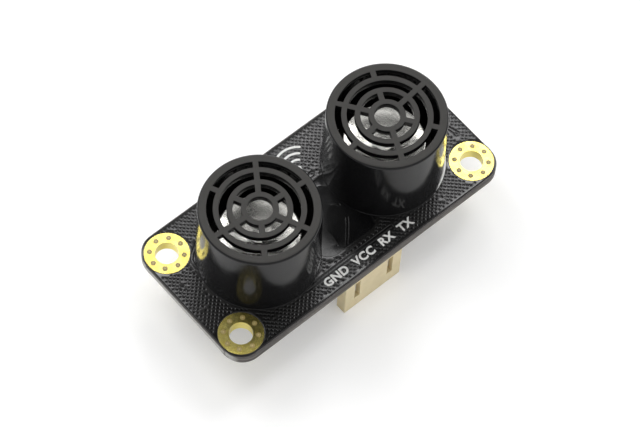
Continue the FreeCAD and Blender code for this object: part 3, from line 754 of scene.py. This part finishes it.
class Look:
    """A Principled material and the nodes that drive it, all placed by the object's own space. The
    plain colour and roughness that it starts with stand where no node is read."""

    COLOUR_SPAN = (0.35, 0.7)
    ROUGH_SPAN = (0.3, 0.75)
    GRAIN_SPAN = (0.3, 0.7)

    def __init__(self, name, colour, roughness, metallic=0.0, **sockets):
        self.material = bpy.data.materials.new(name)
        self.material.use_nodes = True
        self.tree = self.material.node_tree
        self.shader = self.tree.nodes["Principled BSDF"]
        self.shader.inputs["Base Color"].default_value = (*colour, 1)
        self.shader.inputs["Roughness"].default_value = roughness
        self.shader.inputs["Metallic"].default_value = metallic
        for socket, value in sockets.items():
            self.shader.inputs[socket.replace("_", " ")].default_value = value
        self.space = self.tree.nodes.new("ShaderNodeTexCoord").outputs["Object"]

    def node(self, kind, **settings):
        made = self.tree.nodes.new("ShaderNode" + kind)
        for key, value in settings.items():
            setattr(made, key, value)
        return made

    def link(self, source, target):
        self.tree.links.new(source, target)

    def noise(self, size, detail=3.0, stretch=(1, 1, 1)):
        """Noise with grains about size millimetres across."""
        mapping = self.node("Mapping")
        mapping.inputs["Scale"].default_value = stretch
        self.link(self.space, mapping.inputs["Vector"])
        made = self.node("TexNoise")
        made.inputs["Scale"].default_value = 1 / (size * MM)
        made.inputs["Detail"].default_value = detail
        self.link(mapping.outputs["Vector"], made.inputs["Vector"])
        return made.outputs["Fac"]

    def spread(self, value, low, high, to_low=0.0, to_high=1.0):
        """A value taken from one range to another, clamped."""
        made = self.node("MapRange")
        for socket, number in zip(("From Min", "From Max", "To Min", "To Max"),
                                  (low, high, to_low, to_high)):
            made.inputs[socket].default_value = number
        self.link(value, made.inputs["Value"])
        return made.outputs["Result"]

    def blend(self, factor, one, other):
        """A colour between two colours or colour sockets."""
        made = self.node("Mix", data_type="RGBA")
        self.link(factor, made.inputs["Factor"])
        for socket, colour in ((made.inputs["A"], one), (made.inputs["B"], other)):
            if isinstance(colour, tuple):
                socket.default_value = (*colour, 1)
            else:
                self.link(colour, socket)
        return made.outputs["Result"]

    def combine(self, one, other, operation="ADD"):
        """Two values, each a number or a socket, put together."""
        made = self.node("Math", operation=operation)
        for socket, value in zip(made.inputs, (one, other)):
            if isinstance(value, (int, float)):
                socket.default_value = value
            else:
                self.link(value, socket)
        return made.outputs["Value"]

    def size_of(self, value):
        """A value without its sign."""
        return self.combine(value, 0.0, "ABSOLUTE")

    def vector(self, operation, one, other=None):
        """A vector operation's node, on a vector socket and a plain vector."""
        made = self.node("VectorMath", operation=operation)
        self.link(one, made.inputs[0])
        if other:
            made.inputs[1].default_value = other
        return made

    def height(self):
        """The height in the object's space."""
        made = self.node("SeparateXYZ")
        self.link(self.space, made.inputs["Vector"])
        return made.outputs["Z"]

    def facing(self, axis):
        """How far the surface faces along X, Y or Z."""
        made = self.node("SeparateXYZ")
        self.link(self.node("NewGeometry").outputs["Normal"], made.inputs["Vector"])
        return made.outputs[axis]

    def mottled(self, noise, one, other):
        """Two colours in soft patches that follow a noise."""
        return self.blend(self.spread(noise, *self.COLOUR_SPAN), one, other)

    def patchy(self, noise, low, high):
        """A roughness that wanders between two values with a noise."""
        return self.spread(noise, *self.ROUGH_SPAN, low, high)

    def colour(self, socket):
        self.link(socket, self.shader.inputs["Base Color"])

    def rough(self, socket):
        self.link(socket, self.shader.inputs["Roughness"])

    def bump(self, height, depth, strength=1.0):
        """Bumps depth millimetres deep from a height of 0 to 1."""
        made = self.node("Bump")
        made.inputs["Distance"].default_value = depth * MM
        made.inputs["Strength"].default_value = strength
        self.link(height, made.inputs["Height"])
        self.link(made.outputs["Normal"], self.shader.inputs["Normal"])


# The most that the mask's clouds cover, and its shine over bare laminate and over copper
MASK_CLOUDS = 0.45
MASK_SHINE = (0.4, 0.62)


def mask_look():
    """Black gloss over copper, a little darker and duller where it lies on bare laminate."""
    look = Look("solder_mask_gloss", (0.008, 0.008, 0.009), 0.2, IOR=1.52)
    height = look.height()
    above = look.spread(height, (BOARD_HIGH.z + MASK_LOW) * MM, (BOARD_HIGH.z + MASK_HIGH) * MM)
    below = look.spread(height, -MASK_LOW * MM, -MASK_HIGH * MM)
    level = look.combine(above, below, "MAXIMUM")
    grain = look.spread(look.noise(0.16), *look.GRAIN_SPAN)
    copper = look.blend(grain, (0.009, 0.0088, 0.0085), (0.017, 0.0165, 0.016))
    tint = look.blend(level, (0.0035, 0.0035, 0.0038), copper)
    cloud = look.spread(look.noise(2.4), *look.COLOUR_SPAN, 0.0, MASK_CLOUDS)
    look.colour(look.blend(cloud, tint, (0.008, 0.008, 0.0085)))
    look.rough(look.patchy(look.noise(0.9, detail=4), 0.1, 0.18))
    shine = look.spread(level, 0.0, 1.0, *MASK_SHINE)
    look.link(shine, look.shader.inputs["Specular IOR Level"])
    look.bump(look.noise(0.2), depth=0.003)
    return look.material


# Depths below the board's face: where the painted shade under the mask begins on the long edges and
# where it is darkest, and the band of painted shade just under the mask on the short edges
LONG_EDGE_PAINTED_SHADE_START, LONG_EDGE_PAINTED_SHADE_END = 1.0, 0.1
LONG_EDGE_PAINTED_SHADE = 0.75
SHORT_EDGE_PAINTED_SHADE_START, SHORT_EDGE_PAINTED_SHADE_END = 0.36, 0.3
LAYER_SPAN = (0.38, 0.66)
CHIP_SPAN = (0.35, 0.65)
SHORT_EDGE_SPAN = (0.75, 0.95)


def laminate_look():
    """The board's cut edge: layers of glass cloth, with painted shade under the mask. The long
    edges are milled, and the short ones are snapped off, pale and rough."""
    look = Look("glass_laminate_edge", (0.11, 0.1, 0.085), 0.7)
    height = look.height()
    layers = look.noise(0.9, stretch=(0.12, 0.12, 4.5))
    chips = look.noise(0.16, detail=4)
    milled = look.blend(look.spread(layers, *LAYER_SPAN), (0.06, 0.054, 0.05),
                        (0.235, 0.214, 0.194))
    # Painted shade: the long edges darken towards the mask.
    top = look.spread(height, (BOARD_HIGH.z - LONG_EDGE_PAINTED_SHADE_START) * MM,
                      (BOARD_HIGH.z - LONG_EDGE_PAINTED_SHADE_END) * MM, 0.0, LONG_EDGE_PAINTED_SHADE)
    milled = look.blend(top, milled, (0.07, 0.064, 0.062))
    snapped = look.blend(look.spread(chips, *CHIP_SPAN), (0.28, 0.275, 0.26), (0.6, 0.595, 0.57))
    # Painted shade: the short edges turn nearly black just under the mask.
    short_edge_painted_shade = look.spread(height, (BOARD_HIGH.z - SHORT_EDGE_PAINTED_SHADE_START) * MM,
                         (BOARD_HIGH.z - SHORT_EDGE_PAINTED_SHADE_END) * MM)
    snapped = look.blend(short_edge_painted_shade, snapped, (0.04, 0.04, 0.04))
    end = look.spread(look.size_of(look.facing("X")), *SHORT_EDGE_SPAN)
    look.colour(look.blend(end, milled, snapped))
    look.bump(look.combine(chips, layers), depth=0.04)
    return look.material


def gold_look():
    look = Look("pad_gold_plate", (0.98, 0.78, 0.24), 0.16, metallic=1.0)
    look.colour(look.mottled(look.noise(1.1), (1.0, 0.87, 0.29), (0.98, 0.81, 0.19)))
    look.rough(look.patchy(look.noise(0.5, detail=4), 0.2, 0.27))
    look.bump(look.noise(0.12), depth=0.003)
    return look.material


# Heights above the board's face between which a plug's middle turns light
PLUG_MIDDLE_START, PLUG_MIDDLE_END = 0.064, 0.075


def plug_look():
    """Dark resin round a lighter, raised middle, on both faces of the board."""
    look = Look("via_plug_resin", (0.16, 0.11, 0.05), 0.4)
    half = BOARD_HIGH.z / 2
    lift = look.size_of(look.combine(look.height(), half * MM, "SUBTRACT"))
    raised = look.spread(lift, (half + PLUG_MIDDLE_START) * MM, (half + PLUG_MIDDLE_END) * MM)
    ring = look.mottled(look.noise(0.12), (0.4, 0.31, 0.11), (0.27, 0.2, 0.07))
    look.colour(look.blend(raised, ring, (0.55, 0.46, 0.2)))
    look.bump(look.noise(0.1, detail=2), depth=0.006)
    return look.material


# Depths below the grille's face between which the satin of the face gives way to gloss, and the
# share of the satin's bumps that the gloss has
SATIN_START, SATIN_END = 0.08, 0.02
GLOSS_BUMPS = 0.12


def head_look():
    """Black moulding: satin and speckled on the grille's face, glossy on the walls."""
    look = Look("head_moulding", (0.02, 0.02, 0.02), 0.2, IOR=1.35)
    on_face = look.spread(look.height(), (HEAD_TOP - SATIN_START) * MM, (HEAD_TOP - SATIN_END) * MM)
    speckle = look.noise(0.09, detail=2)
    matt = look.blend(look.spread(speckle, *look.GRAIN_SPAN), (0.034, 0.033, 0.031),
                      (0.05, 0.048, 0.045))
    look.colour(look.blend(on_face, (0.0085, 0.0085, 0.009), matt))
    gloss = look.patchy(look.noise(1.3, detail=4), 0.12, 0.19)
    satin = look.spread(speckle, *look.GRAIN_SPAN, 0.42, 0.6)
    look.rough(look.combine(gloss, look.combine(on_face, satin, "MULTIPLY")))
    grain = look.spread(on_face, 0.0, 1.0, GLOSS_BUMPS, 1.0)
    look.bump(look.combine(speckle, grain, "MULTIPLY"), depth=0.006, strength=0.5)
    return look.material


def painted_glint_look():
    """Pale and glossy: the colour of the painted glint along the receiver's base."""
    look = Look("base_painted_glint", (0.8, 0.8, 0.78), 0.18)
    look.colour(look.mottled(look.noise(0.6), (0.93, 0.93, 0.91), (0.82, 0.82, 0.8)))
    return look.material


SPIN_PITCH = 0.16
CLOUD_BUMPS = 1.5


def cone_look():
    """Spun metal: fine rings round each head's axis, with a soft cloud over them."""
    look = Look("cone_spun_aluminium", (0.9, 0.9, 0.89), 0.2, metallic=1.0)
    both = look.vector("ABSOLUTE", look.space)
    centred = look.vector("SUBTRACT", both.outputs[0], (HEAD_AXES[1][0] * MM, 0, 0))
    flat = look.vector("MULTIPLY", centred.outputs[0], (1, 1, 0))
    radius = look.vector("LENGTH", flat.outputs[0]).outputs["Value"]
    wave = look.combine(look.combine(radius, 2 * math.pi / (SPIN_PITCH * MM), "MULTIPLY"), 0.0,
                        "SINE")
    cloud = look.noise(0.7)
    look.colour(look.mottled(cloud, (0.98, 0.97, 0.92), (0.9, 0.89, 0.84)))
    look.rough(look.patchy(cloud, 0.15, 0.25))
    dents = look.combine(look.noise(0.5), CLOUD_BUMPS, "MULTIPLY")
    look.bump(look.combine(look.spread(wave, -1, 1), dents), depth=0.0016)
    return look.material


def header_look():
    """Natural nylon, which lets a little light in."""
    look = Look("header_nylon", (0.7, 0.6, 0.42), 0.45, Subsurface_Weight=0.12,
                Subsurface_Radius=(0.0006, 0.0004, 0.00025))
    look.colour(look.mottled(look.noise(1.6), (0.86, 0.74, 0.47), (0.8, 0.68, 0.41)))
    look.bump(look.noise(0.15), depth=0.004)
    return look.material


# Shares of a plain look's roughness that it wanders between, and of its colour in its patches
METAL_ROUGH = (0.7, 1.4)
METAL_SHADE = 0.85
DULL_ROUGH = (0.85, 1.15)
DULL_SHADE = 0.8
DULL_GRAIN = 0.12


def scaled(values, share):
    return tuple(value * share for value in values)


def metal_look(name, colour, roughness, grain=0.2):
    look = Look(name, colour, roughness, metallic=1.0)
    look.rough(look.patchy(look.noise(grain, detail=4), *scaled(METAL_ROUGH, roughness)))
    look.colour(look.mottled(look.noise(grain * 3), colour, scaled(colour, METAL_SHADE)))
    look.bump(look.noise(grain), depth=0.004)
    return look.material


def dull_look(name, colour, roughness):
    look = Look(name, colour, roughness)
    look.colour(look.mottled(look.noise(DULL_GRAIN * 4), colour, scaled(colour, DULL_SHADE)))
    look.rough(look.patchy(look.noise(DULL_GRAIN), *scaled(DULL_ROUGH, roughness)))
    look.bump(look.noise(DULL_GRAIN), depth=0.006)
    return look.material


def ink_look():
    look = Look("silkscreen_ink", (0.85, 0.85, 0.83), 0.55)
    look.colour(look.mottled(look.noise(0.12), (0.88, 0.88, 0.86), (0.74, 0.74, 0.72)))
    look.bump(look.noise(0.08, detail=2), depth=0.004)
    return look.material


# The look of each material slot. The board itself shows only at its edges, where its laminate is.
LOOKS = {
    "solder_mask_black": laminate_look(),
    "pad_gold": gold_look(),
    "head_plastic": head_look(),
    "base_phenolic": dull_look("base_phenolic_board", (0.03, 0.025, 0.02), 0.7),
    "seat_silicone": dull_look("seat_silicone_rubber", (0.6, 0.6, 0.57), 0.6),
    "piezo_ceramic": dull_look("piezo_ceramic_disc", (0.4, 0.37, 0.28), 0.8),
    "vibrator_metal": metal_look("vibrator_sheet", (0.72, 0.58, 0.3), 0.3),
    "cone_aluminium": cone_look(),
    "tinned_metal": metal_look("tinned_leads", (0.72, 0.72, 0.7), 0.28),
    "wire_copper": metal_look("enamelled_wire", (0.72, 0.36, 0.2), 0.3),
    "solder": metal_look("solder_alloy", (0.68, 0.69, 0.7), 0.22, 0.3),
    "header_plastic": header_look(),
    "package_epoxy": dull_look("package_epoxy_moulding", (0.025, 0.025, 0.027), 0.6),
    "crystal_can": metal_look("crystal_can_nickel", (0.76, 0.73, 0.66), 0.25),
    "bulk_moulding": dull_look("bulk_capacitor_case", (0.55, 0.34, 0.06), 0.5),
    "resistor_body": dull_look("resistor_film", (0.02, 0.02, 0.024), 0.3),
    "capacitor_body": dull_look("capacitor_ceramic", (0.36, 0.24, 0.13), 0.6),
}

# How far the edges of the nodes in a slot are rounded
EDGE_ROUNDS = {"head_plastic": 0.07, "header_plastic": 0.09, "package_epoxy": 0.06,
               "bulk_moulding": 0.1, "capacitor_body": 0.05, "resistor_body": 0.04,
               "crystal_can": 0.08, "solder": 0.03, "tinned_metal": 0.04}
SAME_CORNER = 0.0005
ROUNDED_FROM = 38


def soften_edges(piece, width):
    """Rounds a node's edges with modifiers, which leave its mesh as it is."""
    weld = piece.modifiers.new("weld", "WELD")
    weld.merge_threshold = SAME_CORNER * MM
    bevel = piece.modifiers.new("round", "BEVEL")
    bevel.width = width * MM
    bevel.segments = 2
    bevel.limit_method = "ANGLE"
    bevel.angle_limit = math.radians(ROUNDED_FROM)
    bevel.harden_normals = False
    shade = piece.modifiers.new("shade", "WEIGHTED_NORMAL")
    shade.keep_sharp = True


def dress_nodes():
    slots = {part["node"]: part["material_slot"] for part in frame["record"]["subparts"]}
    for name, piece in frame["nodes"].items():
        for place in piece.material_slots:
            place.material = LOOKS[slots[name]]
        if slots[name] in EDGE_ROUNDS:
            soften_edges(piece, EDGE_ROUNDS[slots[name]])


def dress(pieces, material):
    for piece in pieces:
        piece.data.materials.append(material)


# Stage: floor, light and camera

FLOOR_GAP = 0.03
FLOOR_HEIGHT = node_box("header_housing")[0].z - FLOOR_GAP
FLOOR_REACH = 1500.0
FLOOR_COLOUR = (0.82, 0.82, 0.82)
FLOOR_ROUGHNESS = 0.9
CAMERA_LIFT = 0.25
MIRROR_LIFT = 0.12

# The light of the world: its level all round, and lobes that add to it. A lobe is a direction,
# the angles round it where it is full and where it ends, and the amount added: a dimmer ceiling
# behind the object, a window that the board mirrors, a low window and a glint for the cones.
WORLD_LIGHT = 0.75
BEHIND_LOBES = (
    ((0.334, 0.340, 0.879), 10, 26, -0.46),
    ((0.435, 0.443, 0.784), 7, 10.6, 4.2),
    ((0.55, 0.565, 0.615), 8, 14, 3.0),
    ((0.6, 0.13, 0.79), 7, 11, 7.5),
)
CAMERA_LOBE = ((-0.334, -0.340, 0.879), 12, 26, -0.9 * WORLD_LIGHT)

KEY_PLACE = (-65, 300, 335)
KEY_SIZE = 220
KEY_POWER = 0.64

CAMERA_AZIMUTH = -44.486
CAMERA_ELEVATION = 61.516
CAMERA_ROLL = 4.352
CAMERA_DISTANCE = 380.3
CAMERA_TARGET = (-0.143, -0.084, 0.0)
CAMERA_LENS = 159.82
CAMERA_NEAR, CAMERA_FAR = 10.0, 10000.0


def floor_look():
    """Pale floor. The white behind the object is added for what the camera and reflections see."""
    material = bpy.data.materials.new("floor_pale")
    material.use_nodes = True
    tree = material.node_tree
    shader = tree.nodes["Principled BSDF"]
    shader.inputs["Base Color"].default_value = (*FLOOR_COLOUR, 1)
    shader.inputs["Roughness"].default_value = FLOOR_ROUGHNESS
    path = tree.nodes.new("ShaderNodeLightPath")
    shown = tree.nodes.new("ShaderNodeMath")
    shown.operation = "MULTIPLY"
    shown.inputs[1].default_value = CAMERA_LIFT
    tree.links.new(path.outputs["Is Camera Ray"], shown.inputs[0])
    lift = tree.nodes.new("ShaderNodeMath")
    lift.operation = "MULTIPLY_ADD"
    lift.inputs[1].default_value = MIRROR_LIFT
    tree.links.new(path.outputs["Is Glossy Ray"], lift.inputs[0])
    tree.links.new(shown.outputs[0], lift.inputs[2])
    shader.inputs["Emission Color"].default_value = (1, 1, 1, 1)
    tree.links.new(lift.outputs[0], shader.inputs["Emission Strength"])
    return material


def make_floor():
    reach, z = FLOOR_REACH * MM, FLOOR_HEIGHT * MM
    mesh = bpy.data.meshes.new("floor")
    mesh.from_pydata([(-reach, -reach, z), (reach, -reach, z), (reach, reach, z),
                      (-reach, reach, z)], [], [(0, 1, 2, 3)])
    mesh.materials.append(floor_look())
    add_object("floor", mesh)


def make_world():
    """A white tent that is brighter and darker in places, and plain white to the camera itself."""
    world = bpy.data.worlds.new("studio")
    world.use_nodes = True
    tree = world.node_tree
    nodes, links = tree.nodes, tree.links
    space = nodes.new("ShaderNodeTexCoord").outputs["Generated"]

    def lobe(direction, inner, outer, amount):
        dot = nodes.new("ShaderNodeVectorMath")
        dot.operation = "DOT_PRODUCT"
        dot.inputs[1].default_value = Vector(direction).normalized()
        links.new(space, dot.inputs[0])
        edge = nodes.new("ShaderNodeMapRange")
        edge.interpolation_type = "SMOOTHSTEP"
        for socket, value in (("From Min", math.cos(math.radians(outer))),
                              ("From Max", math.cos(math.radians(inner))),
                              ("To Min", 0.0), ("To Max", amount)):
            edge.inputs[socket].default_value = value
        links.new(dot.outputs["Value"], edge.inputs["Value"])
        return edge.outputs["Result"]

    def add(one, other):
        made = nodes.new("ShaderNodeMath")
        for socket, value in zip(made.inputs, (one, other)):
            if isinstance(value, float):
                socket.default_value = value
            else:
                links.new(value, socket)
        return made.outputs["Value"]

    behind = lobe(*BEHIND_LOBES[0])
    for values in BEHIND_LOBES[1:]:
        behind = add(behind, lobe(*values))
    light = add(add(WORLD_LIGHT, behind), lobe(*CAMERA_LOBE))
    tent = nodes["Background"]
    tent.inputs["Color"].default_value = (1, 1, 1, 1)
    links.new(light, tent.inputs["Strength"])
    plain = nodes.new("ShaderNodeBackground")
    plain.inputs["Color"].default_value = (1, 1, 1, 1)
    choose = nodes.new("ShaderNodeMixShader")
    links.new(nodes.new("ShaderNodeLightPath").outputs["Is Camera Ray"], choose.inputs["Fac"])
    links.new(tent.outputs[0], choose.inputs[1])
    links.new(plain.outputs[0], choose.inputs[2])
    links.new(choose.outputs[0], nodes["World Output"].inputs["Surface"])
    bpy.context.scene.world = world


def make_softbox():
    """A square lamp behind the object that faces the origin."""
    lamp = bpy.data.lights.new("key", "AREA")
    lamp.shape = "SQUARE"
    lamp.size = KEY_SIZE * MM
    lamp.energy = KEY_POWER
    holder = add_object("key", lamp)
    holder.location = Vector(KEY_PLACE) * MM
    holder.rotation_mode = "QUATERNION"
    holder.rotation_quaternion = (-Vector(KEY_PLACE)).to_track_quat("-Z", "Y")


def make_camera():
    azimuth, elevation = math.radians(CAMERA_AZIMUTH), math.radians(CAMERA_ELEVATION)
    back = Vector((math.sin(azimuth) * math.cos(elevation),
                   -math.cos(azimuth) * math.cos(elevation), math.sin(elevation)))
    camera = add_object("camera", bpy.data.cameras.new("camera"))
    camera.data.lens = CAMERA_LENS
    camera.data.clip_start, camera.data.clip_end = CAMERA_NEAR * MM, CAMERA_FAR * MM
    camera.location = (Vector(CAMERA_TARGET) + back * CAMERA_DISTANCE) * MM
    roll = Matrix.Rotation(math.radians(CAMERA_ROLL), 4, "Z")
    turn = (-back).to_track_quat("-Z", "Y").to_matrix().to_4x4() @ roll
    camera.rotation_mode = "QUATERNION"
    camera.rotation_quaternion = turn.to_quaternion()
    bpy.context.scene.camera = camera


dress_nodes()
dress([make_top_mask(), make_bottom_mask()], mask_look())
dress(make_top_ink() + [make_bottom_ink()], ink_look())
dress(make_via_plugs(), plug_look())
dress(make_cones(), LOOKS["cone_aluminium"])
dress(make_head_beads(), LOOKS["head_plastic"])
# A pale crescent that paints the glint along the receiver's base.
dress(make_painted_glint(), painted_glint_look())
make_floor()
make_world()
make_softbox()
make_camera()
bpy.context.scene.view_settings.view_transform = "Standard"
